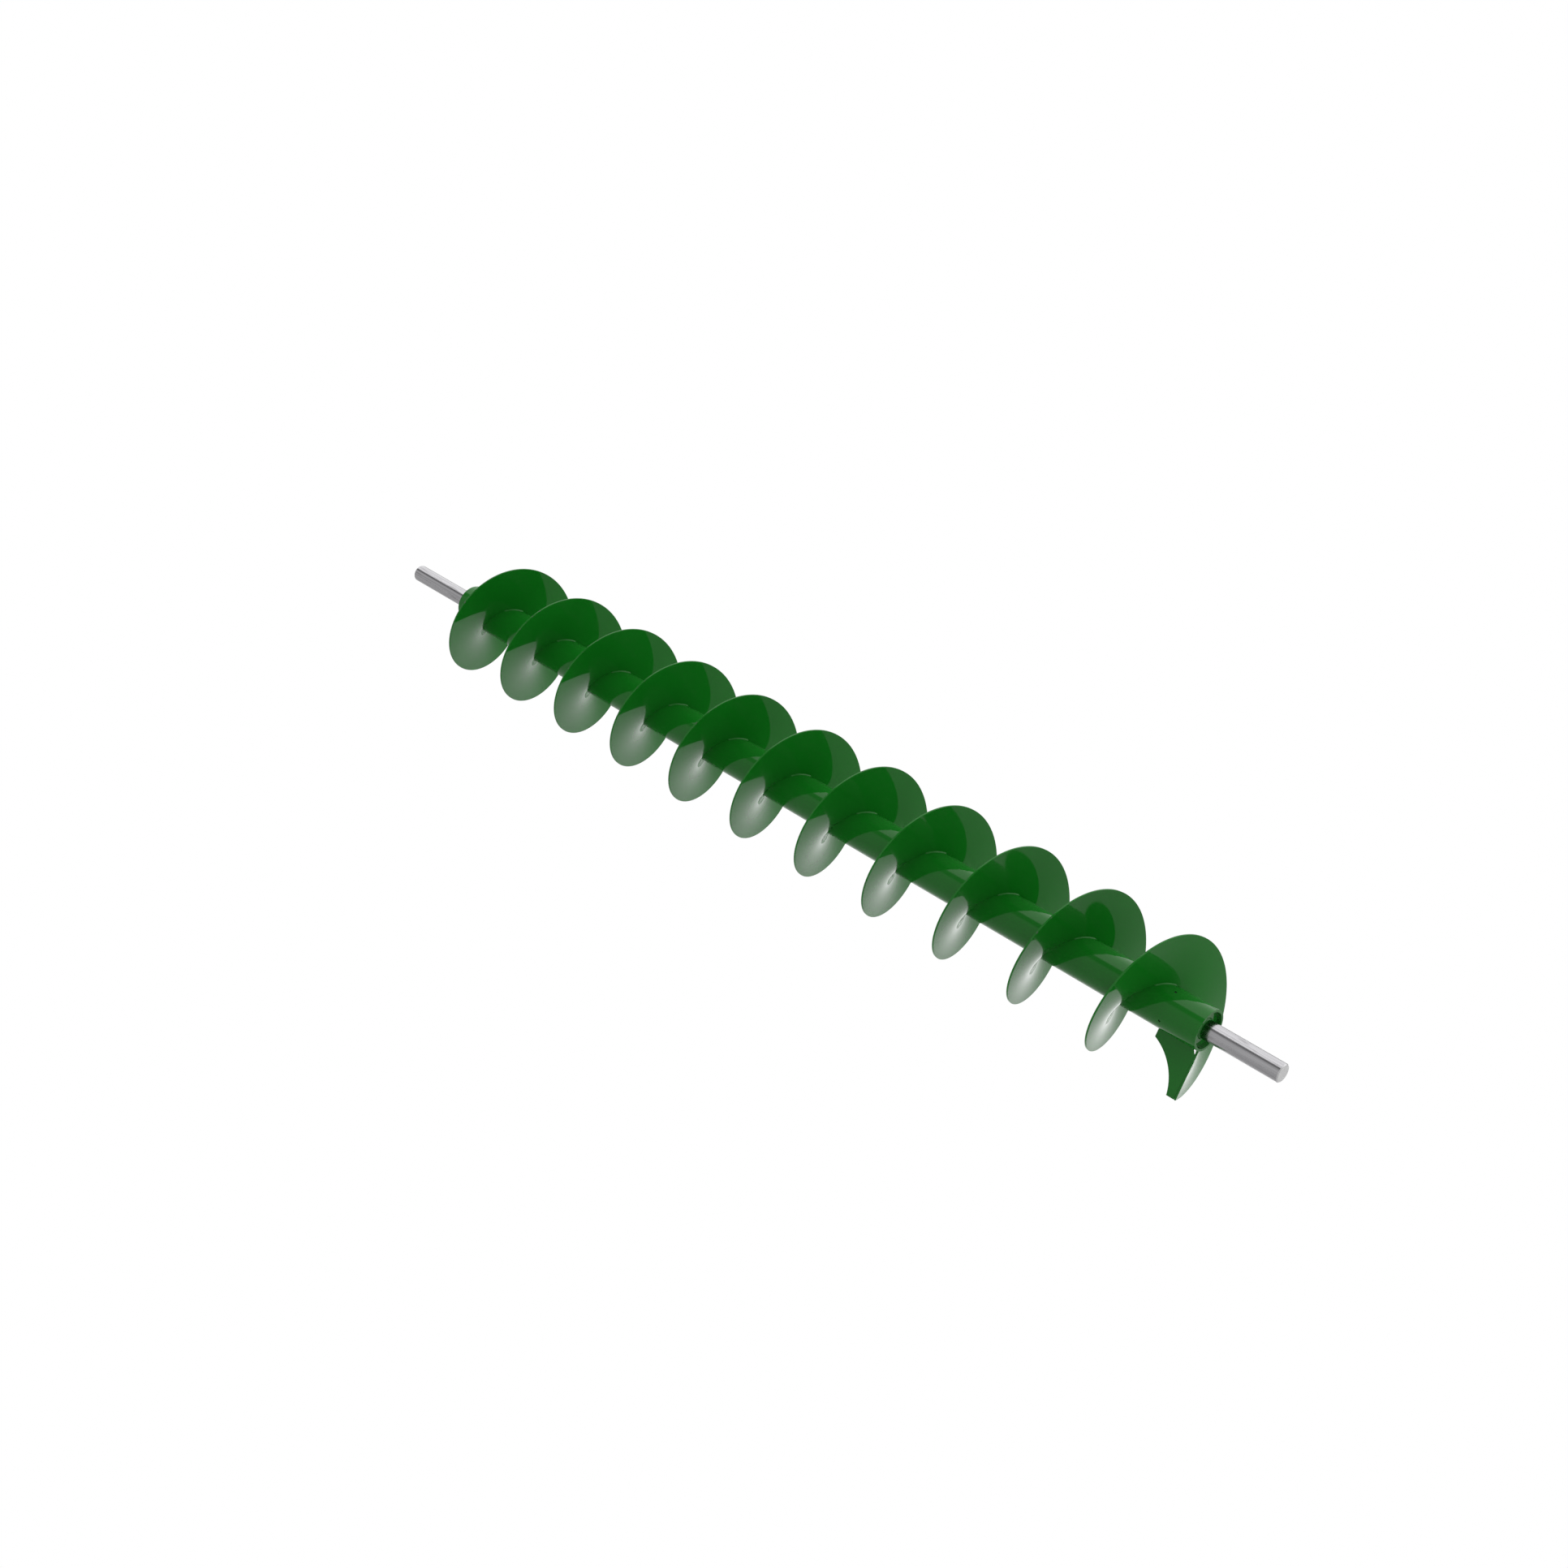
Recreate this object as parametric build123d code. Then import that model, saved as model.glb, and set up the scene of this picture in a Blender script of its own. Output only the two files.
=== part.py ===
from build123d import *
import math
import os

# Left-hand conveying auger: sheet flights wound round a core tube, with a bare stub shaft in each
# end and a throwing paddle at the discharge end. Millimetres and degrees.
# X is the turning axis and +X is the discharge end. The origin is on the axis, half-way along the
# finished auger. Angles about the axis are counted from +Y towards +Z.

# Flights: one formed ring of sheet for each turn, butted edge to edge, then a part turn.
flight_diameter = 150.0
flight_pitch = 97.75
flight_sheet = 2.0
full_sections = 11
end_section_angle = 123.0
fit_up_gap = 0.05              # sheet edge to tube, and paddle to flight, filled by the weld

# Core tube. Each of its ends stands just clear of the nearest flight edge.
tube_diameter = 44.5
tube_wall = 2.6
tube_end_margin = 0.25

# Stub shafts: bare turned bar. The journal stands out of the tube, and the thicker seat behind
# its shoulder is held in the tube by two discs.
journal_diameter = 20.0
seat_diameter = 22.0
shaft_chamfer = 1.2
discharge_projection = 83.5    # bare length beyond the tube at +X
intake_projection = 106.0      # bare length beyond the tube at -X
shaft_inner_overhang = 5.0     # seat left beyond the inner disc

# Discs that centre the shafts. The outer one is let in, which leaves room for its weld.
outer_disc_thickness = 6.0
outer_disc_recess = 4.5
inner_disc_thickness = 9.0
disc_fit_gap = 0.05            # all round, at the tube and at the shaft

# Pins that hold the inner discs, driven in through holes in the tube wall.
pin_diameter = 2.5
pin_length = 6.5
pin_sink = 0.8                 # from the tube's surface down to the pin's head
pin_count = 4
pin_plane_inset = 41.5         # from the tube's end to the plane of the pins
pin_hole_gap = 0.02            # all round, and under the pin's foot

# Paddle: a radial plate behind the last edge of the flight.
paddle_sheet = 2.5
paddle_tip_width = 9.0
paddle_tip_land = 1.0          # straight part of the tip, down from the rim
paddle_base_width = 44.5
paddle_heel_height = 9.0       # straight part of the heel, up from the tube
paddle_arc_radius = 57.0
paddle_corner_relief = 4.5     # leg of the corner cut off where tube, flight and paddle meet

# Sizes and places that follow from the ones above.
flight_radius = flight_diameter / 2
tube_radius = tube_diameter / 2
tube_bore_radius = tube_radius - tube_wall
seat_radius = seat_diameter / 2
flight_root_radius = tube_radius + fit_up_gap
pin_hole_radius = pin_diameter / 2 + pin_hole_gap
pin_head_radius = tube_radius - pin_sink
pin_foot_radius = pin_head_radius - pin_length
pin_hole_floor = pin_foot_radius - pin_hole_gap

CENTRED_BASE = (Align.CENTER, Align.CENTER, Align.MIN)


def axial_sheet(radius):
    """Sheet thickness along the axis, at a radius: the sheet leans more towards its root."""
    rise_per_arc = flight_pitch / (2 * math.pi * radius)
    return flight_sheet * math.hypot(1.0, rise_per_arc)


end_section_turns = end_section_angle / 360
flight_run = flight_pitch * (full_sections + end_section_turns)
root_half_sheet = axial_sheet(flight_root_radius) / 2
tube_length = flight_run + 2 * (root_half_sheet + tube_end_margin)
overall_length = intake_projection + tube_length + discharge_projection

discharge_end = overall_length / 2
intake_end = -discharge_end
discharge_tube_end = discharge_end - discharge_projection
intake_tube_end = intake_end + intake_projection
first_edge = intake_tube_end + tube_end_margin + root_half_sheet
end_section_start = first_edge + flight_pitch * full_sections
last_edge = first_edge + flight_run


def bar(radius, x_from, x_to):
    """Round bar on the axis between two places, in either order."""
    low, high = sorted((x_from, x_to))
    return Pos(low, 0, 0) * Rot(0, 90, 0) * Cylinder(radius, high - low, align=CENTRED_BASE)


def ring(radius, bore_radius, x_from, x_to):
    """Bar with a bore right through it."""
    return bar(radius, x_from, x_to) - bar(bore_radius, x_from, x_to)


def radial_pins(x, radius, foot, head):
    """Pins, or the drills for their holes, set evenly round the axis at x."""
    pin = Pos(x, foot, 0) * Rot(-90, 0, 0) * Cylinder(radius, head - foot, align=CENTRED_BASE)
    return [Rot(index * 360 / pin_count, 0, 0) * pin for index in range(pin_count)]


def flight_section(start, turns):
    """Strip of sheet wound left-handed about the axis. The middle of its first edge is at
    x = start and points along +Y. It is wound about Z, from +X, and then laid along the axis."""

    def helix(radius, side):
        centre = (0, 0, side * axial_sheet(radius) / 2)
        return Edge.make_helix(flight_pitch, flight_pitch * turns, radius, centre, lefthand=True)

    corners = [(flight_root_radius, -1), (flight_root_radius, 1), (flight_radius, 1), (flight_radius, -1)]
    helices = [helix(radius, side) for radius, side in corners]
    faces = [Face(Wire.make_polygon([edge @ end for edge in helices])) for end in (0, 1)]
    for index, edge in enumerate(helices):
        faces.append(Face.make_surface_from_curves(edge, helices[index - 1]))
    along_axis = Plane(origin=(start, 0, 0), x_dir=(0, 1, 0), z_dir=(1, 0, 0))
    return along_axis.location * Solid(Shell(faces))


def discharge_paddle():
    """Plate flush with the last flight edge and butted against the back of the flight.
    It is drawn with x along the axis and y outwards, past the tube's surface and past the flight's
    rim. Its front edge is bevelled to the flight's lean, which is greatest at the root. Then it
    is turned to the last edge's angle and trimmed to the tube and to the rim."""
    front = last_edge - root_half_sheet - fit_up_gap
    lean = flight_pitch * math.atan(paddle_sheet / flight_root_radius) / (2 * math.pi)
    relief_top = flight_root_radius + paddle_corner_relief
    heel = front - paddle_base_width
    heel_top = (heel, flight_root_radius + paddle_heel_height)
    tip = front - paddle_tip_width
    tip_bottom = (tip, flight_radius - paddle_tip_land)
    sunk_root = tube_bore_radius
    raised_rim = flight_radius + paddle_sheet
    with BuildSketch() as outline:
        with BuildLine():
            RadiusArc(tip_bottom, heel_top, paddle_arc_radius)
            Polyline(heel_top, (heel, sunk_root), (front - (relief_top - sunk_root), sunk_root),
                     (front, relief_top), (front, raised_rim), (tip, raised_rim), tip_bottom)
        make_face()
    bevel = Plane(origin=(front, 0, 0), x_dir=(0, 1, 0), z_dir=(paddle_sheet, 0, lean))
    plate = split(extrude(outline.sketch, paddle_sheet), bisect_by=bevel, keep=Keep.BOTTOM)
    plate = Rot(-end_section_angle, 0, 0) * plate
    return plate & ring(flight_radius, flight_root_radius, heel - paddle_sheet, last_edge)


def core_tube():
    """Tube, drilled near each end for the pins."""
    tube = ring(tube_radius, tube_bore_radius, intake_tube_end, discharge_tube_end)
    for plane in (intake_tube_end + pin_plane_inset, discharge_tube_end - pin_plane_inset):
        tube -= radial_pins(plane, pin_hole_radius, pin_foot_radius, tube_diameter)
    return tube


def end_fittings(end_name, free_end, tube_end):
    """Stub shaft, its two discs and the pins of the inner one, for either end of the auger."""
    inward = math.copysign(1.0, -free_end)
    shoulder = tube_end + inward * outer_disc_recess
    outer_disc_back = shoulder + inward * outer_disc_thickness
    pin_plane = tube_end + inward * pin_plane_inset
    inner_disc_front = pin_plane - inward * inner_disc_thickness / 2
    inner_disc_back = pin_plane + inward * inner_disc_thickness / 2
    seat_end = inner_disc_back + inward * shaft_inner_overhang

    disc_radius = tube_bore_radius - disc_fit_gap
    disc_bore_radius = seat_radius + disc_fit_gap
    outer_disc = ring(disc_radius, disc_bore_radius, shoulder, outer_disc_back)
    inner_disc = ring(disc_radius, disc_bore_radius, inner_disc_front, inner_disc_back)
    inner_disc -= radial_pins(pin_plane, pin_hole_radius, pin_hole_floor, tube_diameter)
    pins = Compound(children=radial_pins(pin_plane, pin_diameter / 2, pin_foot_radius, pin_head_radius))

    shaft = bar(journal_diameter / 2, free_end, shoulder) + bar(seat_radius, shoulder, seat_end)
    rims = shaft.edges().filter_by(GeomType.CIRCLE).sort_by(Axis.X)
    shaft = chamfer([rims[0], rims[-1]], shaft_chamfer)
    return {
        f"{end_name}_shaft": shaft,
        f"{end_name}_outer_disc": outer_disc,
        f"{end_name}_inner_disc": inner_disc,
        f"{end_name}_disc_pins": pins,
    }


pieces = {"core_tube": core_tube(), "discharge_paddle": discharge_paddle()}
for index in range(full_sections):
    pieces[f"flight_section_{index + 1:02d}"] = flight_section(first_edge + index * flight_pitch, 1.0)
pieces["flight_end_section"] = flight_section(end_section_start, end_section_turns)
pieces |= end_fittings("discharge", discharge_end, discharge_tube_end)
pieces |= end_fittings("intake", intake_end, intake_tube_end)

os.makedirs("parts", exist_ok=True)
for node, shape in pieces.items():
    export_step(shape, f"parts/{node}.step")
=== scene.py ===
# %% [markdown]
# # A painted screw auger with bare shafts
#
# The auger is a welded piece of farm machinery: sheet flights wound round a core tube, all in one
# coat of gloss green enamel, with a bare steel shaft standing out of each end. Its sizes are
# already settled in the CAD frame, which this file loads and never moves. What is left for Blender
# is what the eye judges: smooth helical sheet with soft edges, weld beads, and three finishes: the
# gloss enamel, bright bar and the black oxide of the pins.
#
# The frame could be shown as it is, but its meshes are loose triangles with knife-sharp edges.
# Sheet steel never has those, so the flights, the paddle and the shafts are made again here as
# smooth surfaces of the same size, and the tube, discs and pins keep their CAD meshes.

import bpy
import math
import numpy as np
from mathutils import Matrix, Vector


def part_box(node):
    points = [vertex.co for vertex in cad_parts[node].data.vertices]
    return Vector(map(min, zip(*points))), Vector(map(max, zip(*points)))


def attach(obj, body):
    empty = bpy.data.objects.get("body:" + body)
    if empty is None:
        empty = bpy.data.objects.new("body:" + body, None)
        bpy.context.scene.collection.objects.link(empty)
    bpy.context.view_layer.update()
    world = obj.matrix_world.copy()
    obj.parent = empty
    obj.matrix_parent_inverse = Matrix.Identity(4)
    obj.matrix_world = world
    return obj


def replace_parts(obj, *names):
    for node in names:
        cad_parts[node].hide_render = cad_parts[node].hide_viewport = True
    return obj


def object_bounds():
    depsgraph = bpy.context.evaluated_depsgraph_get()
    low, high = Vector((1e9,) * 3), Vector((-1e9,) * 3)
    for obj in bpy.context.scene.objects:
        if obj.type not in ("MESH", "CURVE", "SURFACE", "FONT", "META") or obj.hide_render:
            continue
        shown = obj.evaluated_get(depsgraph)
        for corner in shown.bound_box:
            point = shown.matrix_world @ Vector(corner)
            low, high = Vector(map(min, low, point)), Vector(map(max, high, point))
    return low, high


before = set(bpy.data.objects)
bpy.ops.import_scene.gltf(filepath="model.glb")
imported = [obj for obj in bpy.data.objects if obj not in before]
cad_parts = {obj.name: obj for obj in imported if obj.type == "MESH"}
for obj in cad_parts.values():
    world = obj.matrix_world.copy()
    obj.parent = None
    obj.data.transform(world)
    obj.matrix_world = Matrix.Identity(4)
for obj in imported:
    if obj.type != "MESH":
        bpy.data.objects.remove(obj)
cad_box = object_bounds()
print("nodes in the frame:", len(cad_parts))

# %% [markdown]
# ## Sizes come from the frame
#
# Every new piece has to sit exactly where its CAD node is. So nothing is typed in that the frame
# already knows: a section's box gives its pitch, and the nearest of its corners to the axis gives
# the root. The rim is the shortest reach of the whole CAD box to the sides, so that nothing made
# here can stand out of it. The sheet's thickness follows from how far the section's box is longer
# than one pitch, because the sheet is measured square to its own slope and the box along the axis.

# %% Read the flight's sizes
MM = 0.001
LEVEL = 0.01 * MM              # places that differ by less than this are taken as level


def node_points(node):
    """All corners of a CAD node, as rows of x, y, z."""
    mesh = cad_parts[node].data
    points = np.empty(len(mesh.vertices) * 3, np.float32)
    mesh.vertices.foreach_get("co", points)
    return points.reshape(-1, 3).astype(float)


def slope(radius):
    """Rise of the helix along the axis for each metre of arc at this radius."""
    return PITCH / (2 * np.pi * radius)


section_names = sorted(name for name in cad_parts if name.startswith("flight_section"))
first_low, first_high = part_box(section_names[0])
PITCH = (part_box(section_names[-1])[0].x - first_low.x) / (len(section_names) - 1)
section_points = node_points(section_names[0])
ROOT = float(np.hypot(section_points[:, 1], section_points[:, 2]).min())
RIM = min(abs(side) for corner in cad_box for side in tuple(corner)[1:])
root_sheet_along_axis = first_high.x - first_low.x - PITCH
SHEET = root_sheet_along_axis / math.hypot(1, slope(ROOT))
FIRST_EDGE = first_low.x + root_sheet_along_axis / 2
TUBE = float(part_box("core_tube")[1].z)

end_points = node_points("flight_end_section")
end_arc = np.degrees(np.arctan2(end_points[:, 2], end_points[:, 1]))
END_ANGLE = round(-float(end_arc.min()), 1)
LAST_EDGE = FIRST_EDGE + PITCH * (len(section_names) + END_ANGLE / 360)

beyond_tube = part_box("core_tube")[1].x + LEVEL
shaft_points = node_points("discharge_shaft")
bare_points = shaft_points[shaft_points[:, 0] > beyond_tube]
SHAFT_JOURNAL = float(np.hypot(bare_points[:, 1], bare_points[:, 2]).max())
print(f"pitch {PITCH / MM:.2f} mm, root {ROOT / MM:.2f}, rim {RIM / MM:.2f}, sheet {SHEET / MM:.2f}")
print(f"{len(section_names)} full turns and one of {END_ANGLE} degrees")

# %% [markdown]
# ## One way to build every surface
#
# A flight, a weld bead and a shaft are all the same kind of shape: a closed outline carried along
# a path. So the points make a grid, with a row for each step along the path and a column for each
# point of the outline. The faces only need counting, which numpy does for the whole grid at once.
# The two open ends get one flat face each. The sign of the enclosed volume shows whether the
# faces look outwards, and if it is negative they are all turned round.
#
# Each point also gets a place on the surface, along the path and round the outline, in metres.
# That is the UV map, named surface.

# %% Grid surfaces


def grid_quads(rows, columns, ring=False):
    """Four-sided faces between neighbouring rows and columns. The outline is always closed; with
    ring the path is closed too, so the last row joins the first."""
    row = np.arange(rows if ring else rows - 1)[:, None]
    column = np.arange(columns)[None, :]
    next_row, next_column = (row + 1) % rows, (column + 1) % columns
    corners = [row * columns + column, row * columns + next_column,
               next_row * columns + next_column, next_row * columns + column]
    return np.stack([np.broadcast_to(c, (row.size, columns)) for c in corners], -1).reshape(-1, 4)


def enclosed_volume(points, quads):
    """Volume inside the surface: a sixth of the sum of a . (b x c) over its triangles."""
    a, b, c, d = (points[quads[:, i]] for i in range(4))
    return float(np.sum(a * np.cross(b, c)) + np.sum(a * np.cross(c, d))) / 6


def make_piece(name, grid, ring=False, soften=35.0):
    """Object from a grid of points, rows by columns by x, y, z. Edges that turn by more than
    soften degrees stay sharp. The place is in the mesh, so the object itself stays at the origin."""
    rows, columns = grid.shape[:2]
    points = grid.reshape(-1, 3)
    quads = grid_quads(rows, columns, ring)
    outline = np.arange(columns)
    caps = [] if ring else [outline[::-1], outline + (rows - 1) * columns]
    if enclosed_volume(points, quads) < 0:
        quads = quads[:, ::-1]
        caps = [cap[::-1] for cap in caps]
    mesh = bpy.data.meshes.new(name)
    mesh.from_pydata(points.tolist(), [], quads.tolist() + [cap.tolist() for cap in caps])
    along = np.zeros((rows, columns))
    along[1:] = np.cumsum(np.linalg.norm(np.diff(grid, axis=0), axis=-1), axis=0)
    across = np.zeros((rows, columns))
    across[:, 1:] = np.cumsum(np.linalg.norm(np.diff(grid, axis=1), axis=-1), axis=1)
    corner_point = np.empty(len(mesh.loops), np.int32)
    mesh.loops.foreach_get("vertex_index", corner_point)
    uv = np.stack([along.ravel(), across.ravel()], -1)[corner_point]
    mesh.uv_layers.new(name="surface").uv.foreach_set("vector", uv.astype(np.float32).ravel())
    mesh.polygons.foreach_set("use_smooth", np.ones(len(mesh.polygons), bool))
    mesh.set_sharp_from_angle(angle=math.radians(soften))
    piece = bpy.data.objects.new(name, mesh)
    bpy.context.scene.collection.objects.link(piece)
    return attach(piece, "root")


# %% [markdown]
# ## The flights
#
# Each section is one ring of sheet, split once and pulled out into a turn of the helix. It could
# be made with a Screw modifier, but a straight formula is shorter and gives the sheet its true
# thickness: a helicoid leans more towards its root, so the same sheet is thicker along the axis
# there. The outline runs out along one face, over the rim in two small rounds, and back along the
# other face. The rounds are only 0.4 mm, but they are what catches the light along every rim.

# %% Helix and flight outline
RIM_ROUND = 0.4 * MM
ROUND_STEPS = 4
KEEP_FLAT = 0.08 * MM          # a close column beside a round, which keeps the flat face flat
FACE_STEPS = 30
STEPS_PER_TURN = 288


def on_helix(turn, radius, offset):
    """Point on the left-handed helix: x is the first edge plus turn pitches plus the offset along
    the axis, and the angle runs backwards, one full circle for each turn."""
    angle = -2 * np.pi * turn
    turn, radius, offset, angle = np.broadcast_arrays(turn, radius, offset, angle)
    x = FIRST_EDGE + PITCH * turn + offset
    return np.stack([x, radius * np.cos(angle), radius * np.sin(angle)], -1)


def half_sheet(radius):
    """Half the sheet along the axis: straight from the root's value to the rim's, as it is ruled."""
    at_root, at_rim = (SHEET / 2 * math.hypot(1, slope(r)) for r in (ROOT, RIM))
    return at_root + (at_rim - at_root) * (radius - ROOT) / (RIM - ROOT)


def flight_outline():
    """Radius and side offset of the closed outline: front face out, over the rim, back face in."""
    face = np.linspace(ROOT, RIM - RIM_ROUND - KEEP_FLAT, FACE_STEPS)
    bend = np.linspace(0, np.pi / 2, ROUND_STEPS + 1)
    radius = np.concatenate([face, RIM - RIM_ROUND + RIM_ROUND * np.sin(bend)])
    drop = np.concatenate([np.zeros(FACE_STEPS), RIM_ROUND * (1 - np.cos(bend))])
    offset = half_sheet(radius) - drop
    return np.concatenate([radius, radius[::-1]]), np.concatenate([offset, -offset[::-1]])


def make_flight(name, first_turn, turns):
    """One section: the outline carried along its part of the helix."""
    radius, offset = flight_outline()
    turn = np.linspace(first_turn, first_turn + turns, max(2, round(STEPS_PER_TURN * turns) + 1))
    return make_piece(name, on_helix(turn[:, None], radius[None, :], offset[None, :]))


# %% Make the flights
green_pieces = []
for index, node in enumerate(section_names):
    flight = make_flight(f"flight_{index + 1:02d}", index, 1.0)
    green_pieces.append(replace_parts(flight, node))
end_turns = END_ANGLE / 360
end_flight = make_flight("flight_end", len(section_names), end_turns)
green_pieces.append(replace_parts(end_flight, "flight_end_section"))
print("flights:", len(green_pieces), "pieces of", len(end_flight.data.polygons), "faces or more")

# %% [markdown]
# ## The paddle
#
# A plate cut from sheet stands square behind the last edge of the flight and throws the load out
# of the trough. Its outline has a hollow heel, a corner cut off where three pieces meet, and a
# front edge bevelled to lie against the flight. An extruded curve with a bevel could make it, but
# the outline is already in the CAD node: the corners of its flat face, put in order round a point
# that sees them all. That outline is carried through the thickness, and held behind the bevel and
# inside the rim as it goes. A little of it is drawn in at both faces, which rounds the edges.

# %% Paddle outline
EDGE_ROUND = 0.3 * MM
PLATE_STEPS = 5
SEES_ALL = (8 * MM, 40 * MM)   # behind the front edge, and out from the axis


def paddle_axes():
    """Directions of the paddle: outwards along the last edge, and through its thickness."""
    angle = math.radians(-END_ANGLE)
    outwards = np.array([0, math.cos(angle), math.sin(angle)])
    return outwards, np.array([0, -math.sin(angle), math.cos(angle)])


PADDLE_SHEET = float((node_points("discharge_paddle") @ paddle_axes()[1]).max())


def ordered_outline(points):
    """Corners sorted by angle round a point inside, low and near the front, that sees them all."""
    corners = np.unique(np.round(points, 7), axis=0)
    centre = np.array([corners[:, 0].max() - SEES_ALL[0], SEES_ALL[1]])
    return corners[np.argsort(np.arctan2(*(corners - centre).T[::-1]))]


def drawn_in(outline, amount):
    """Closed outline moved inwards: each corner goes by the sum of its two sides' normals, divided
    by one plus their product, which keeps every side parallel to itself."""
    side = np.roll(outline, -1, 0) - outline
    side /= np.linalg.norm(side, axis=1, keepdims=True)
    normal = np.stack([-side[:, 1], side[:, 0]], -1)
    before = np.roll(normal, 1, 0)
    return outline + amount * (normal + before) / (1 + np.sum(normal * before, 1, keepdims=True))


def make_paddle():
    """Plate: the outline at steps through the thickness, each drawn in by its share of the edge
    round, with x kept behind the bevel and the radius inside the rim. The front edge itself isn't
    drawn in, so that it meets the flight."""
    outwards, through = paddle_axes()
    points = node_points("discharge_paddle")
    local = np.stack([points[:, 0], points @ outwards, points @ through], -1)
    outline = ordered_outline(local[np.abs(local[:, 2]) < LEVEL / 10][:, :2])
    front = outline[:, 0].max()
    far_face = local[local[:, 2] > PADDLE_SHEET - LEVEL / 10]
    bevel = (front - far_face[:, 0].max()) / PADDLE_SHEET
    bend = np.linspace(0, np.pi / 2, PLATE_STEPS)
    depth = EDGE_ROUND * (1 - np.cos(bend[::-1]))[::-1]
    inset = EDGE_ROUND * (1 - np.sin(bend))
    depth = np.concatenate([[0], depth])
    inset = np.concatenate([[EDGE_ROUND + KEEP_FLAT], inset])
    depth = np.concatenate([depth, PADDLE_SHEET - depth[::-1]])
    inset = np.concatenate([inset, inset[::-1]])
    rows = np.stack([drawn_in(outline, amount) for amount in inset])
    behind_bevel = front - bevel * depth[:, None]
    held = np.minimum(rows[..., 0], behind_bevel)
    x = np.where(outline[:, 0] > front - LEVEL, behind_bevel, held)
    reach = np.minimum(rows[..., 1], np.sqrt(RIM ** 2 - depth[:, None] ** 2) - inset[:, None])
    along = np.array([1, 0, 0])
    grid = x[..., None] * along + reach[..., None] * outwards + depth[:, None, None] * through
    print(f"paddle: {len(outline)} outline points, {PADDLE_SHEET / MM:.2f} mm thick, bevel {bevel:.2f}")
    return make_piece("paddle", grid)


green_pieces.append(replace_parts(make_paddle(), "discharge_paddle"))

# %% [markdown]
# ## Weld beads
#
# The flight is held by short fillet welds: one stitch a turn on the discharge side, always at the
# same angle, and longer ones on the hidden side. Fillets also close the paddle's joints from
# behind, and a ring of weld seals each shaft to its disc. A bead is a small fillet that sits in a
# corner. Its surface is a row of small overlapping ripples, each the edge of a frozen puddle, so
# its size swells and shrinks along its length, and it dies away at its ends.
#
# All of them are one surface: a corner line with two directions along it, one for each wall. A
# bevelled curve could follow the line, but it would be round all the way, with no ripples.

# %% Bead in a corner
BEAD_LEG = 1.1 * MM
BEAD_RIPPLE = 1.2 * MM
BEAD_SUNK = 0.4 * MM
BEAD_STEPS = 7
PLACES_PER_RIPPLE = 6
BEAD_HOLLOW = 1.35             # power of the quarter's cosine and sine; above 1 is flatter


def bead_places(length):
    """Distances along a bead, a few to each ripple."""
    return np.linspace(0, length, max(24, int(PLACES_PER_RIPPLE * length / BEAD_RIPPLE)))


def bead_legs(place, leg, seed, tapered=True):
    """Leg of the bead at each place. Each ripple swells it by a rounded tooth, the square root of
    its share of the ripple. A tapered bead also has a slow wander, the sum of two sines, and near
    its ends it rises as a quarter circle over one and a half legs. A ring has neither, because
    its two ends must meet."""
    ripple = place / BEAD_RIPPLE
    if not tapered:
        return leg * (0.95 + 0.09 * np.sqrt(np.mod(ripple, 1.0)))
    wander = 0.5 * np.sin(ripple * 0.9 + seed) + 0.5 * np.sin(ripple * 0.37 + 2 * seed)
    tooth = np.sqrt(np.mod(ripple + 0.25 * wander, 1.0))
    from_end = np.clip(np.minimum(place, place[-1] - place) / (1.5 * leg), 0, 1)
    rise = 0.12 + 0.88 * np.sqrt(1 - (1 - from_end) ** 2)
    return leg * (0.95 + 0.09 * tooth + 0.04 * wander) * rise


def bead(name, corner, wall_a, wall_b, leg, ring=False):
    """Fillet in a corner. Each row is the corner plus leg times (cos^p t wall_a + sin^p t wall_b),
    where p is BEAD_HOLLOW, drawn in by up to 15 % half-way round. Three points sunk a little into
    the walls close it."""
    swing = np.linspace(0, np.pi / 2, BEAD_STEPS)
    drawn = 1 - 0.15 * np.sin(2 * swing) ** 2
    share_a = (np.cos(swing) ** BEAD_HOLLOW * drawn)[:, None]
    share_b = (np.sin(swing) ** BEAD_HOLLOW * drawn)[:, None]
    leg = leg[:, None]
    quarter = leg[:, None] * (share_a * wall_a[:, None] + share_b * wall_b[:, None])
    sunk = [leg * wall_b - BEAD_SUNK * wall_a, -BEAD_SUNK * (wall_a + wall_b),
            leg * wall_a - BEAD_SUNK * wall_b]
    rows = np.concatenate([quarter, np.stack(sunk, 1)], 1)
    return make_piece(name, corner[:, None] + rows, ring)


def join_pieces(name, parts):
    """Several pieces of the same kind made one object, which is easier to find and to export."""
    with bpy.context.temp_override(active_object=parts[0], selected_editable_objects=parts):
        bpy.ops.object.join()
    parts[0].name = name
    return parts[0]


# %% Stitches along the flight
SHOWN_STITCH = (57.0, 105.0)
HIDDEN_STITCHES = ((15.0, 95.0), (135.0, 215.0), (255.0, 335.0))


def round_axis(angle):
    """Unit vectors outwards from the axis, at these angles."""
    return np.stack([np.zeros_like(angle), np.cos(angle), np.sin(angle)], -1)


def stitch(first_angle, last_angle, turn_index, side, seed):
    """Bead between the tube and one face of the flight, from one angle to another on one turn.
    side is 1 for the face that looks to +X and -1 for the other."""
    turns = (last_angle - first_angle) / 360
    place = bead_places(turns * math.hypot(2 * np.pi * ROOT, PITCH))
    turn = turn_index + (360 - last_angle) / 360 + turns * place / place[-1]
    corner = on_helix(turn, TUBE, side * half_sheet(ROOT))
    lean = np.broadcast_to([side * math.hypot(1, slope(ROOT)), 0, 0], corner.shape)
    return bead("stitch", corner, round_axis(-2 * np.pi * turn), lean, bead_legs(place, BEAD_LEG, seed))


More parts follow.
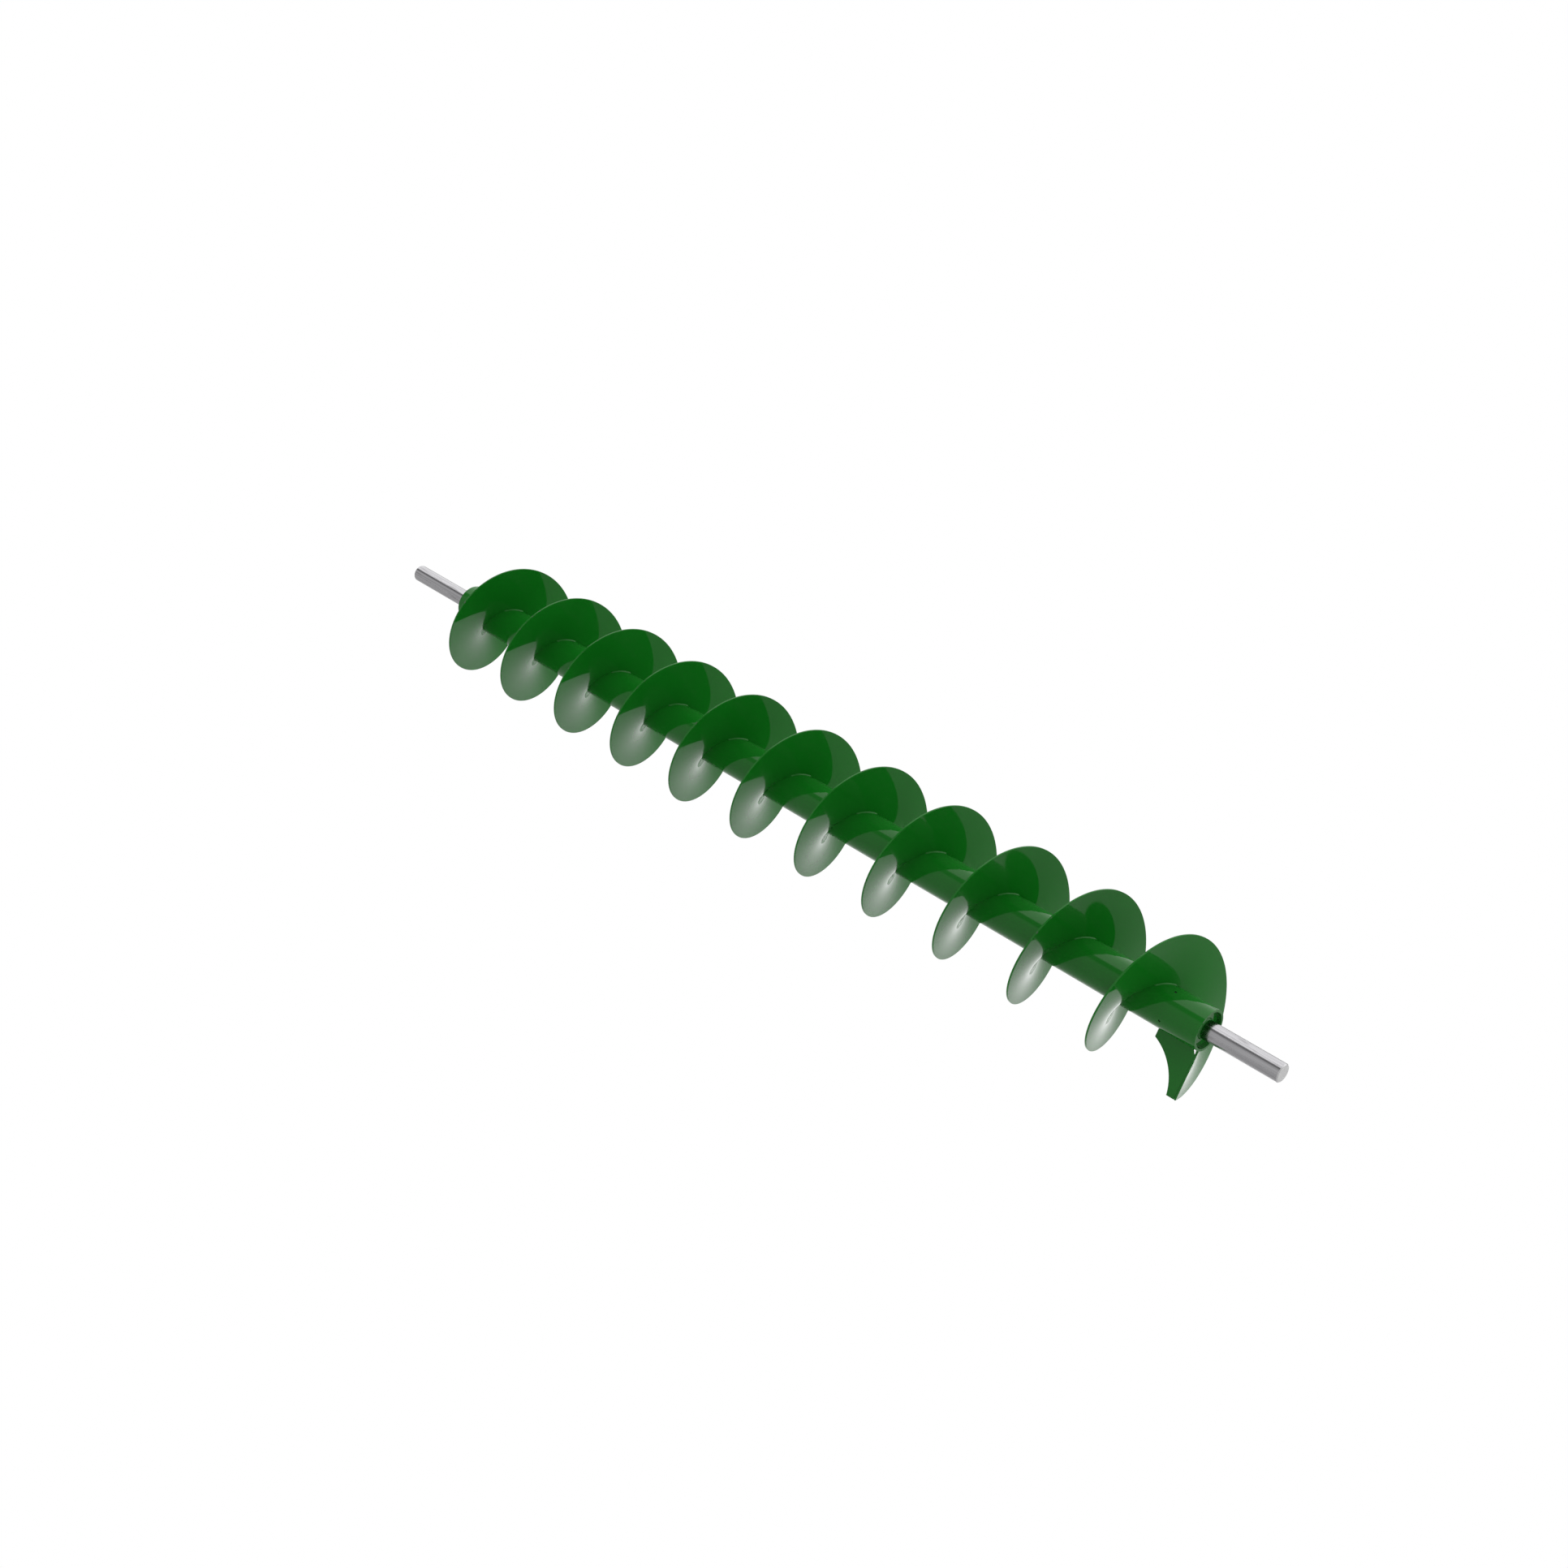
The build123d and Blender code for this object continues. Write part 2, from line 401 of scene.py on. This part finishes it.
shown, hidden = [], []
for turn_index in range(len(section_names)):
    shown.append(stitch(*SHOWN_STITCH, turn_index, 1, turn_index * 1.7))
    for number, (low, high) in enumerate(HIDDEN_STITCHES):
        hidden.append(stitch(low, high, turn_index, -1, turn_index * 2.3 + number))
green_pieces.append(join_pieces("flight_stitches_front", shown))
green_pieces.append(join_pieces("flight_stitches_back", hidden))
print("stitch welds:", len(shown), "in front and", len(hidden), "behind")

# %% Paddle and shaft welds
PADDLE_BEAD = 1.8 * MM
RING_BEAD = 1.5 * MM
RELIEF_SHARE = 9               # the paddle is about this many times as long as its cut-off corner


def straight_bead(name, start, end, wall_a, wall_b, leg, seed):
    """Bead in a straight corner from start to end."""
    place = bead_places(float(np.linalg.norm(end - start)))
    corner = start + (end - start) * (place / place[-1])[:, None]
    walls = [np.broadcast_to(wall, corner.shape) for wall in (wall_a, wall_b)]
    return bead(name, corner, *walls, bead_legs(place, leg, seed))


def paddle_welds():
    """Beads behind the paddle, one along the back of the flight and one along the tube. The first
    lies where the flight's back face passes the paddle's hidden face."""
    outwards, through = paddle_axes()
    along = np.array([1.0, 0, 0])
    low, high = (corner.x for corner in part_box("discharge_paddle"))
    corners = []
    for radius in (ROOT + (high - low) / RELIEF_SHARE, RIM - EDGE_ROUND):
        behind = PITCH * math.atan(PADDLE_SHEET / radius) / (2 * np.pi)
        x = LAST_EDGE - half_sheet(radius) - behind
        corners.append(x * along + radius * outwards + PADDLE_SHEET * through)
    on_tube = math.sqrt(TUBE ** 2 - PADDLE_SHEET ** 2) * outwards + PADDLE_SHEET * through
    ends = [(low + PADDLE_BEAD) * along + on_tube, (high - 4 * PADDLE_BEAD) * along + on_tube]
    return [straight_bead("bead", *corners, -along, through, PADDLE_BEAD, 1.0),
            straight_bead("bead", *ends, outwards, through, PADDLE_BEAD, 2.0)]


def shaft_weld(name, outward):
    """Ring of weld where a shaft comes out of its outer disc. Its ripples divide the circle evenly."""
    low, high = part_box(name + "_outer_disc")
    face = high.x if outward > 0 else low.x
    ripples = round(2 * np.pi * SHAFT_JOURNAL / BEAD_RIPPLE)
    share = np.arange(PLACES_PER_RIPPLE * ripples) / (PLACES_PER_RIPPLE * ripples)
    radial = round_axis(2 * np.pi * share)
    corner = SHAFT_JOURNAL * radial + np.array([face, 0, 0])
    leg = bead_legs(share * ripples * BEAD_RIPPLE, RING_BEAD, 0.0, tapered=False)
    onward = np.broadcast_to([float(outward), 0, 0], corner.shape)
    return bead(name + "_ring_weld", corner, radial, onward, leg, ring=True)


green_pieces.append(join_pieces("paddle_welds", paddle_welds()))
green_pieces += [shaft_weld("discharge", 1), shaft_weld("intake", -1)]
print("painted pieces made here:", len(green_pieces))

# %% [markdown]
# ## The shafts
#
# Bright round bar, turned at the end. A Cylinder would do for the outline, but a lathe profile
# gives the chamfer, the small round where the lathe tool left it and the shoulder in one go: radius
# against distance along the axis, spun in whole circles. The end faces close it.

# %% Lathe
LATHE_STEPS = 160
CORNER_BREAK = 0.2 * MM


def lathe(name, profile):
    """Round piece: each x and radius of the profile, spun about the axis. One row for each profile
    point, one column for each step round, and a flat face at each end."""
    x, radius = profile.T
    angle = np.linspace(0, 2 * np.pi, LATHE_STEPS, endpoint=False)
    points = np.stack(np.broadcast_arrays(x[:, None], radius[:, None] * np.cos(angle),
                                          radius[:, None] * np.sin(angle)), -1)
    return make_piece(name, points)


def broken_corners(profile, size):
    """Profile with each inner corner rounded: a quadratic curve from size before the corner to size
    after it, with one more point just beyond each end that keeps the straight parts straight."""
    share = np.linspace(0, 1, 4)[:, None]
    pieces = [profile[:1]]
    for before, corner, after in zip(profile, profile[1:], profile[2:]):
        back, onward = ((end - corner) / np.linalg.norm(end - corner) for end in (before, after))
        first, last = corner + back * size, corner + onward * size
        curve = (1 - share) ** 2 * first + 2 * share * (1 - share) * corner + share ** 2 * last
        pieces += [[first + back * size / 3], curve, [last + onward * size / 3]]
    return np.concatenate(pieces + [profile[-1:]])


def shaft_profile(node, outward):
    """Profile of a stub shaft from its free end inwards, as x and radius, read from the CAD node:
    journal, chamfer, shoulder and seat."""
    points = node_points(node)
    radii = np.hypot(points[:, 1], points[:, 2])
    reach = points[:, 0] * outward
    free_end, inner_end = reach.max(), reach.min()
    end_face = radii[reach > free_end - LEVEL].max()
    seat = radii.max()
    shoulder = reach[radii > seat - LEVEL].max()
    journal = radii[reach > shoulder + 1 * MM].max()
    chamfer = journal - end_face
    corners = [(free_end, end_face / 2), (free_end, end_face), (free_end - chamfer, journal),
               (shoulder, journal), (shoulder, seat), (inner_end + chamfer, seat),
               (inner_end, seat - chamfer), (inner_end, seat / 2)]
    return broken_corners(np.array(corners), CORNER_BREAK) * np.array([outward, 1])


steel_pieces = []
for node, outward in (("discharge_shaft", 1), ("intake_shaft", -1)):
    shaft = lathe(node.replace("_shaft", "_bar"), shaft_profile(node, outward))
    steel_pieces.append(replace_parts(shaft, node))
shaft_ends = [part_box("intake_shaft")[0].x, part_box("discharge_shaft")[1].x]
print("shafts reach from", round(shaft_ends[0], 4), "to", round(shaft_ends[1], 4))

# %% [markdown]
# ## Node helpers
#
# Materials are written as small trees. A helper that adds a node, sets its sockets and joins what
# it is given keeps each tree readable: a socket as a value means a link, anything else a number.

# %% Add and join nodes


def add_node(tree, kind, **inputs):
    """Adds a node. An input goes by its socket's name, with _ for a space, or by its number, as i0.
    A socket is linked, and any other value is set. The name operation is the node's own setting."""
    node = tree.nodes.new(kind)
    for name, value in inputs.items():
        if name == "operation":
            node.operation = value
            continue
        key = int(name[1:]) if name[0] == "i" and name[1:].isdigit() else name.replace("_", " ")
        socket = node.inputs[key]
        if isinstance(value, bpy.types.NodeSocket):
            tree.links.new(value, socket)
        else:
            socket.default_value = value
    return node


def maths(tree, operation, a, b=0.0):
    """One sum on two values."""
    return add_node(tree, "ShaderNodeMath", operation=operation, i0=a, i1=b).outputs[0]


def remap(tree, value, low, high, new_low, new_high):
    """Straight-line change of range, held at its ends."""
    node = add_node(tree, "ShaderNodeMapRange", Value=value, From_Min=low, From_Max=high,
                    To_Min=new_low, To_Max=new_high)
    return node.outputs[0]


def mix_colour(tree, share, first, second):
    """First colour where share is 0, second where it is 1."""
    node = tree.nodes.new("ShaderNodeMix")
    node.data_type = "RGBA"
    for index, value in ((0, share), (6, first), (7, second)):
        if isinstance(value, bpy.types.NodeSocket):
            tree.links.new(value, node.inputs[index])
        else:
            node.inputs[index].default_value = value
    return node.outputs[2]


def noise(tree, vector, scale, detail=2.0, roughness=0.5):
    """Plain noise, from 0 to 1."""
    return add_node(tree, "ShaderNodeTexNoise", Vector=vector, Scale=scale, Detail=detail,
                    Roughness=roughness).outputs["Fac"]


# %% [markdown]
# ## What sprayed enamel does
#
# A sprayed coat is never a perfect mirror. It has orange peel, a fine pebble a millimetre or two
# across, on a slower roll from the flow of the wet paint. Its colour drifts a little with film
# thickness, and handling leaves a haze of fine dust and rub marks that only roughen the gloss.
# All painted pieces share this, so it is a node group, made once.

# %% Enamel group
PEEL_HEIGHT = 3e-6
ROLL_HEIGHT = 1.6e-5
DUST = (0.10, 0.16, 0.10, 1)


def new_group(name, inputs, outputs):
    """Empty node group with its sockets. inputs are (name, kind, value), outputs (name, kind)."""
    group = bpy.data.node_groups.new(name, "ShaderNodeTree")
    for socket_name, kind, value in inputs:
        socket = group.interface.new_socket(socket_name, in_out="INPUT", socket_type="NodeSocket" + kind)
        if value is not None:
            socket.default_value = value
    for socket_name, kind in outputs:
        group.interface.new_socket(socket_name, in_out="OUTPUT", socket_type="NodeSocket" + kind)
    return group, group.nodes.new("NodeGroupInput"), group.nodes.new("NodeGroupOutput")


def enamel_group():
    """Colour, gloss and height of a sprayed coat over the place it is given."""
    group, given, result = new_group(
        "sprayed enamel",
        [("Place", "Vector", None),
         ("Thick", "Color", (0.0052, 0.160, 0.0095, 1)), ("Thin", "Color", (0.0075, 0.185, 0.0130, 1)),
         ("Gloss", "Float", 0.045), ("Haze", "Float", 0.07)],
        [("Color", "Color"), ("Roughness", "Float"), ("Height", "Float")])
    place = given.outputs["Place"]
    film = noise(group, place, 14.0, 3.0)
    film_share = remap(group, film, 0.38, 0.66, 0.0, 0.55)
    colour = mix_colour(group, film_share, given.outputs["Thick"], given.outputs["Thin"])
    rubs = noise(group, place, 46.0, 5.0, 0.62)
    rub_share = remap(group, rubs, 0.52, 0.74, 0.0, 1.0)
    hazed = maths(group, "MULTIPLY", rub_share, given.outputs["Haze"])
    specks = noise(group, place, 900.0, 1.0)
    speck_share = remap(group, specks, 0.55, 0.8, 0.0, 0.5)
    specked = maths(group, "MULTIPLY", speck_share, given.outputs["Haze"])
    roughness = maths(group, "ADD", given.outputs["Gloss"], maths(group, "ADD", hazed, specked))
    dusty = mix_colour(group, maths(group, "MULTIPLY", hazed, 0.25), colour, DUST)
    peel = noise(group, place, 520.0, 1.0)
    roll = noise(group, place, 60.0, 1.0)
    height = maths(group, "ADD", maths(group, "MULTIPLY", peel, PEEL_HEIGHT),
                   maths(group, "MULTIPLY", roll, ROLL_HEIGHT))
    group.links.new(dusty, result.inputs["Color"])
    group.links.new(roughness, result.inputs["Roughness"])
    group.links.new(height, result.inputs["Height"])
    return group


ENAMEL = enamel_group()
print("enamel group:", len(ENAMEL.nodes), "nodes")

# %% [markdown]
# ## Green enamel
#
# Green paint over sheet steel is a dielectric with a deep base colour: most of what the eye takes
# for light and dark green is the white room mirrored in the gloss at different angles. So the
# colour itself stays dark and saturated, and the roughness low. Where the coat is thinnest, along
# the rim, it is rubbed through in places to the dull primer under it.

# %% Green material
PRIMER = (0.07, 0.12, 0.07, 1)
PAINT_IOR = 1.38


def distance_from_axis(tree, place):
    """Radius of each point: the length of its y and z."""
    parts = add_node(tree, "ShaderNodeSeparateXYZ", Vector=place)
    squares = [maths(tree, "MULTIPLY", parts.outputs[i], parts.outputs[i]) for i in (1, 2)]
    return maths(tree, "SQRT", maths(tree, "ADD", *squares))


def shaded_material(name):
    """New material with a Principled shader, and its Object coordinates."""
    material = bpy.data.materials.new(name)
    material.use_nodes = True
    tree = material.node_tree
    shader = tree.nodes["Principled BSDF"]
    place = tree.nodes.new("ShaderNodeTexCoord").outputs["Object"]
    return material, tree, shader, place


def use_enamel(tree, shader, place, **settings):
    """Places the enamel group and joins its roughness and height. Returns its colour."""
    coat = tree.nodes.new("ShaderNodeGroup")
    coat.node_tree = ENAMEL
    tree.links.new(place, coat.inputs["Place"])
    for name, value in settings.items():
        coat.inputs[name].default_value = value
    bump = add_node(tree, "ShaderNodeBump", Height=coat.outputs["Height"], Strength=1.0, Distance=1.0)
    tree.links.new(bump.outputs["Normal"], shader.inputs["Normal"])
    return coat.outputs["Color"], coat.outputs["Roughness"]


def flight_green():
    """Enamel that is rubbed through along the rim."""
    material, tree, shader, place = shaded_material("flight_green")
    colour, roughness = use_enamel(tree, shader, place)
    radius = distance_from_axis(tree, place)
    edge = remap(tree, radius, RIM - 1.1 * MM, RIM - 0.1 * MM, 0.0, 1.0)
    chips = remap(tree, noise(tree, place, 210.0, 4.0, 0.6), 0.60, 0.66, 0.0, 0.8)
    worn = maths(tree, "MULTIPLY", edge, chips)
    tree.links.new(mix_colour(tree, worn, colour, PRIMER), shader.inputs["Base Color"])
    tree.links.new(maths(tree, "MAXIMUM", roughness, maths(tree, "MULTIPLY", worn, 0.45)),
                   shader.inputs["Roughness"])
    shader.inputs["IOR"].default_value = PAINT_IOR
    return material


def plain_green(name, **settings):
    """Enamel with no wear, for the tube and discs."""
    material, tree, shader, place = shaded_material(name)
    colour, roughness = use_enamel(tree, shader, place, **settings)
    tree.links.new(colour, shader.inputs["Base Color"])
    tree.links.new(roughness, shader.inputs["Roughness"])
    shader.inputs["IOR"].default_value = PAINT_IOR
    return material


# %% [markdown]
# ## Bare steel
#
# Drawn and turned bar shows faint lines along its length, with finer rings where the tool passed.
# They change the gloss more than the shape. A thin film of oil and a few fingerprints keep it from
# looking like chrome.

# %% Steel material
DULL_STEEL = (0.38, 0.375, 0.39, 1)
BRIGHT_STEEL = (0.54, 0.535, 0.55, 1)
FACED_STEEL = (0.82, 0.82, 0.82, 1)
STAINED_STEEL = (0.20, 0.19, 0.195, 1)
STREAK_HEIGHT = 1.5e-6
RING_HEIGHT = 6e-7
DARK_OXIDE = (0.012, 0.012, 0.013, 1)
WORN_OXIDE = (0.035, 0.034, 0.033, 1)


def bar_steel():
    """Metal with long fine streaks, which are noise squeezed across the bar, a few darker stains
    drawn out the same way, and fine turned rings that run on as circles over the end faces. Those
    faces are cut fresh, so they are lighter and duller."""
    material, tree, shader, place = shaded_material("bar_steel")
    squeeze = add_node(tree, "ShaderNodeMapping", Vector=place, Scale=(7.0, 620.0, 620.0))
    streaks = noise(tree, squeeze.outputs[0], 1.0, 3.0, 0.6)
    smudge = noise(tree, place, 38.0, 3.0)
    along = add_node(tree, "ShaderNodeSeparateXYZ", Vector=place).outputs["X"]
    ring_place = add_node(tree, "ShaderNodeCombineXYZ", X=maths(tree, "MULTIPLY", along, 3600.0),
                          Y=maths(tree, "MULTIPLY", distance_from_axis(tree, place), 2600.0))
    turned = noise(tree, ring_place.outputs[0], 1.0, 1.0)
    tone = mix_colour(tree, remap(tree, streaks, 0.34, 0.66, 0.0, 1.0), DULL_STEEL, BRIGHT_STEEL)
    drawn_out = add_node(tree, "ShaderNodeMapping", Vector=place, Scale=(24.0, 210.0, 210.0))
    stain = remap(tree, noise(tree, drawn_out.outputs[0], 1.0, 4.0, 0.6), 0.56, 0.68, 0.0, 0.5)
    tone = mix_colour(tree, stain, tone, STAINED_STEEL)
    normal = tree.nodes.new("ShaderNodeNewGeometry").outputs["Normal"]
    facing = add_node(tree, "ShaderNodeSeparateXYZ", Vector=normal).outputs["X"]
    end_face = remap(tree, maths(tree, "ABSOLUTE", facing), 0.5, 0.9, 0.0, 1.0)
    tree.links.new(mix_colour(tree, end_face, tone, FACED_STEEL), shader.inputs["Base Color"])
    gloss = maths(tree, "ADD", remap(tree, streaks, 0.3, 0.7, 0.12, 0.20),
                  remap(tree, smudge, 0.5, 0.75, 0.0, 0.08))
    roughness = maths(tree, "ADD", gloss, maths(tree, "MULTIPLY", end_face, 0.35))
    tree.links.new(roughness, shader.inputs["Roughness"])
    height = maths(tree, "ADD", maths(tree, "MULTIPLY", streaks, STREAK_HEIGHT),
                   maths(tree, "MULTIPLY", turned, RING_HEIGHT))
    bump = add_node(tree, "ShaderNodeBump", Height=height, Strength=1.0, Distance=1.0)
    tree.links.new(bump.outputs["Normal"], shader.inputs["Normal"])
    shader.inputs["Metallic"].default_value = 1.0
    return material


def black_oxide():
    """Pins: dark, slightly rough steel."""
    material, tree, shader, place = shaded_material("black_oxide")
    blotch = noise(tree, place, 900.0, 3.0)
    tree.links.new(mix_colour(tree, blotch, DARK_OXIDE, WORN_OXIDE), shader.inputs["Base Color"])
    tree.links.new(remap(tree, blotch, 0.3, 0.7, 0.35, 0.55), shader.inputs["Roughness"])
    shader.inputs["Metallic"].default_value = 0.6
    return material


# %% [markdown]
# ## Dressing
#
# Each piece gets one finish. The flights, the paddle and the beads share the enamel that is rubbed
# through at the rim, which shows only out there. The tube and discs keep their CAD meshes and the
# plain enamel, and the pins, blacked with oxide, keep theirs. A new material could be made for each
# piece, but one that is shared changes everywhere at once.

# %% Dress the pieces


def dress(piece, material):
    """Gives the piece its one material."""
    piece.data.materials.clear()
    piece.data.materials.append(material)


flight_paint = flight_green()
tube_paint = plain_green("tube_green", Haze=0.10)
steel = bar_steel()
oxide = black_oxide()
for piece in green_pieces:
    dress(piece, flight_paint)
for piece in steel_pieces:
    dress(piece, steel)
for node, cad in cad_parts.items():
    if not cad.hide_render:
        cad.data.materials.clear()
        cad.data.materials.append(oxide if node.endswith("_pins") else tube_paint)
print("finishes:", ", ".join(material.name for material in (flight_paint, tube_paint, steel, oxide)))

# %% [markdown]
# ## Studio
#
# Gloss paint and bare steel show the room more than themselves, so the room is built for its
# reflections. Behind and above is one huge softbox, which draws the bright band along the shafts.
# A dark gap beside it gives the line that makes round bar look round, and the front is a dimmer
# white. Two spots, one inside the other, burn out the floor behind the auger, and the faces seen at
# a glancing angle mirror that pool. An area light for each would do, but bands painted on the
# world light as softly and cost nothing. The camera itself sees floor and surround as plain white,
# as when a catalogue picture is exposed for the object.

# %% White for the camera


def seen_white(tree, surface, white):
    """Shader that the camera sees as plain white and every other ray as the real surface."""
    camera_ray = tree.nodes.new("ShaderNodeLightPath").outputs["Is Camera Ray"]
    mixer = tree.nodes.new("ShaderNodeMixShader")
    for index, value in enumerate((camera_ray, surface, white)):
        tree.links.new(value, mixer.inputs[index])
    return mixer.outputs[0]


# %% Floor
FLOOR_DROP = 1.2
FLOOR_HALF = 30.0


def make_floor():
    """Square of pale floor, well below the auger, which its bearings would hold up."""
    half = FLOOR_HALF
    mesh = bpy.data.meshes.new("floor")
    mesh.from_pydata([(-half, -half, -FLOOR_DROP), (half, -half, -FLOOR_DROP),
                      (half, half, -FLOOR_DROP), (-half, half, -FLOOR_DROP)], [], [(0, 1, 2, 3)])
    floor = bpy.data.objects.new("floor", mesh)
    bpy.context.scene.collection.objects.link(floor)
    material, tree, shader, _ = shaded_material("pale_floor")
    shader.inputs["Base Color"].default_value = (0.62, 0.62, 0.62, 1)
    shader.inputs["Roughness"].default_value = 0.9
    shader.inputs["Specular IOR Level"].default_value = 0.1
    white = add_node(tree, "ShaderNodeEmission", Strength=1.0).outputs[0]
    output = tree.nodes["Material Output"].inputs["Surface"]
    tree.links.new(seen_white(tree, shader.outputs[0], white), output)
    mesh.materials.append(material)


make_floor()

# %% Surround
SKY_STRENGTH = 1.45
SKY_AHEAD = (0.43, 0.43, 0.43, 1)
SKY_BANDS = ((0.00, 0.95), (0.51, 0.95), (0.55, 0.16), (0.64, 0.16), (0.69, 0.42), (1.00, 0.42))


def make_surround():
    """Soft white in long bands that run with the auger. The band is chosen by the angle of a
    direction round the X axis, from +Y (0) over the top (0.5) to -Y (1), and below the horizon the
    same bands are mirrored. Towards +X, where they would all meet in a point, they fade into one
    even tone."""
    world = bpy.data.worlds.new("surround")
    bpy.context.scene.world = world
    world.use_nodes = True
    tree = world.node_tree
    direction = tree.nodes.new("ShaderNodeTexCoord").outputs["Generated"]
    parts = add_node(tree, "ShaderNodeSeparateXYZ", Vector=direction).outputs
    turned = maths(tree, "ARCTAN2", maths(tree, "ABSOLUTE", parts["Z"]), parts["Y"])
    bands = add_node(tree, "ShaderNodeValToRGB", Fac=maths(tree, "DIVIDE", turned, math.pi))
    stops = bands.color_ramp.elements
    while len(stops) < len(SKY_BANDS):
        stops.new(1.0)
    for stop, (position, value) in zip(stops, SKY_BANDS):
        stop.position, stop.color = position, (value, value, value, 1)
    ahead = remap(tree, parts["X"], 0.55, 0.85, 0.0, 1.0)
    room = tree.nodes["Background"]
    tree.links.new(mix_colour(tree, ahead, bands.outputs["Color"], SKY_AHEAD), room.inputs["Color"])
    room.inputs["Strength"].default_value = SKY_STRENGTH
    white = add_node(tree, "ShaderNodeBackground", Strength=1.0, Color=(1, 1, 1, 1)).outputs[0]
    tree.links.new(seen_white(tree, room.outputs[0], white), tree.nodes["World Output"].inputs["Surface"])


make_surround()

# %% Floor light
POOL = (-0.1, 1.15)
SPOT_HEIGHT = 2.0


def add_light(name, kind, place, aim, power, **settings):
    """Light at a place, turned to look at a point."""
    lamp = bpy.data.lights.new(name, kind)
    lamp.energy = power
    for setting, value in settings.items():
        setattr(lamp, setting, value)
    light = bpy.data.objects.new(name, lamp)
    light.location = place
    light.rotation_euler = (Vector(aim) - Vector(place)).to_track_quat("-Z", "Y").to_euler()
    bpy.context.scene.collection.objects.link(light)


for name, power, cone in (("floor_light", 380.0, 54), ("floor_light_core", 220.0, 34)):
    add_light(name, "SPOT", (*POOL, SPOT_HEIGHT), (*POOL, -FLOOR_DROP), power,
              spot_size=math.radians(cone), spot_blend=1.0, shadow_soft_size=0.2)
bpy.context.scene.view_settings.view_transform = "Standard"
print("lights:", len(bpy.data.lights), "spots and a painted surround")

# %% [markdown]
# ## Camera
#
# The auger is seen past its discharge end, from one side and from above, through a normal lens
# aimed at the origin. Its place could be typed as x, y and z, but two angles and a distance say
# more plainly where one stands.

# %% Camera
CAMERA_AZIMUTH = 45.2
CAMERA_ELEVATION = 35.2
CAMERA_DISTANCE = 2.3995
CAMERA_LENS = 50.57

azimuth, elevation = math.radians(CAMERA_AZIMUTH), math.radians(CAMERA_ELEVATION)
towards_camera = Vector((math.sin(azimuth) * math.cos(elevation),
                         -math.cos(azimuth) * math.cos(elevation), math.sin(elevation)))
camera_data = bpy.data.cameras.new("camera")
camera_data.lens = CAMERA_LENS
camera_data.sensor_width = 36.0
camera = bpy.data.objects.new("camera", camera_data)
camera.location = towards_camera * CAMERA_DISTANCE
camera.rotation_euler = (-towards_camera).to_track_quat("-Z", "Y").to_euler()
bpy.context.scene.collection.objects.link(camera)
bpy.context.scene.camera = camera
print("camera at", [round(value, 3) for value in camera.location])

# %% [markdown]
# ## The CAD box
#
# The new surfaces must not be larger than the CAD model. Its box was kept straight after loading.

# %% Update the view layer
bpy.context.view_layer.update()
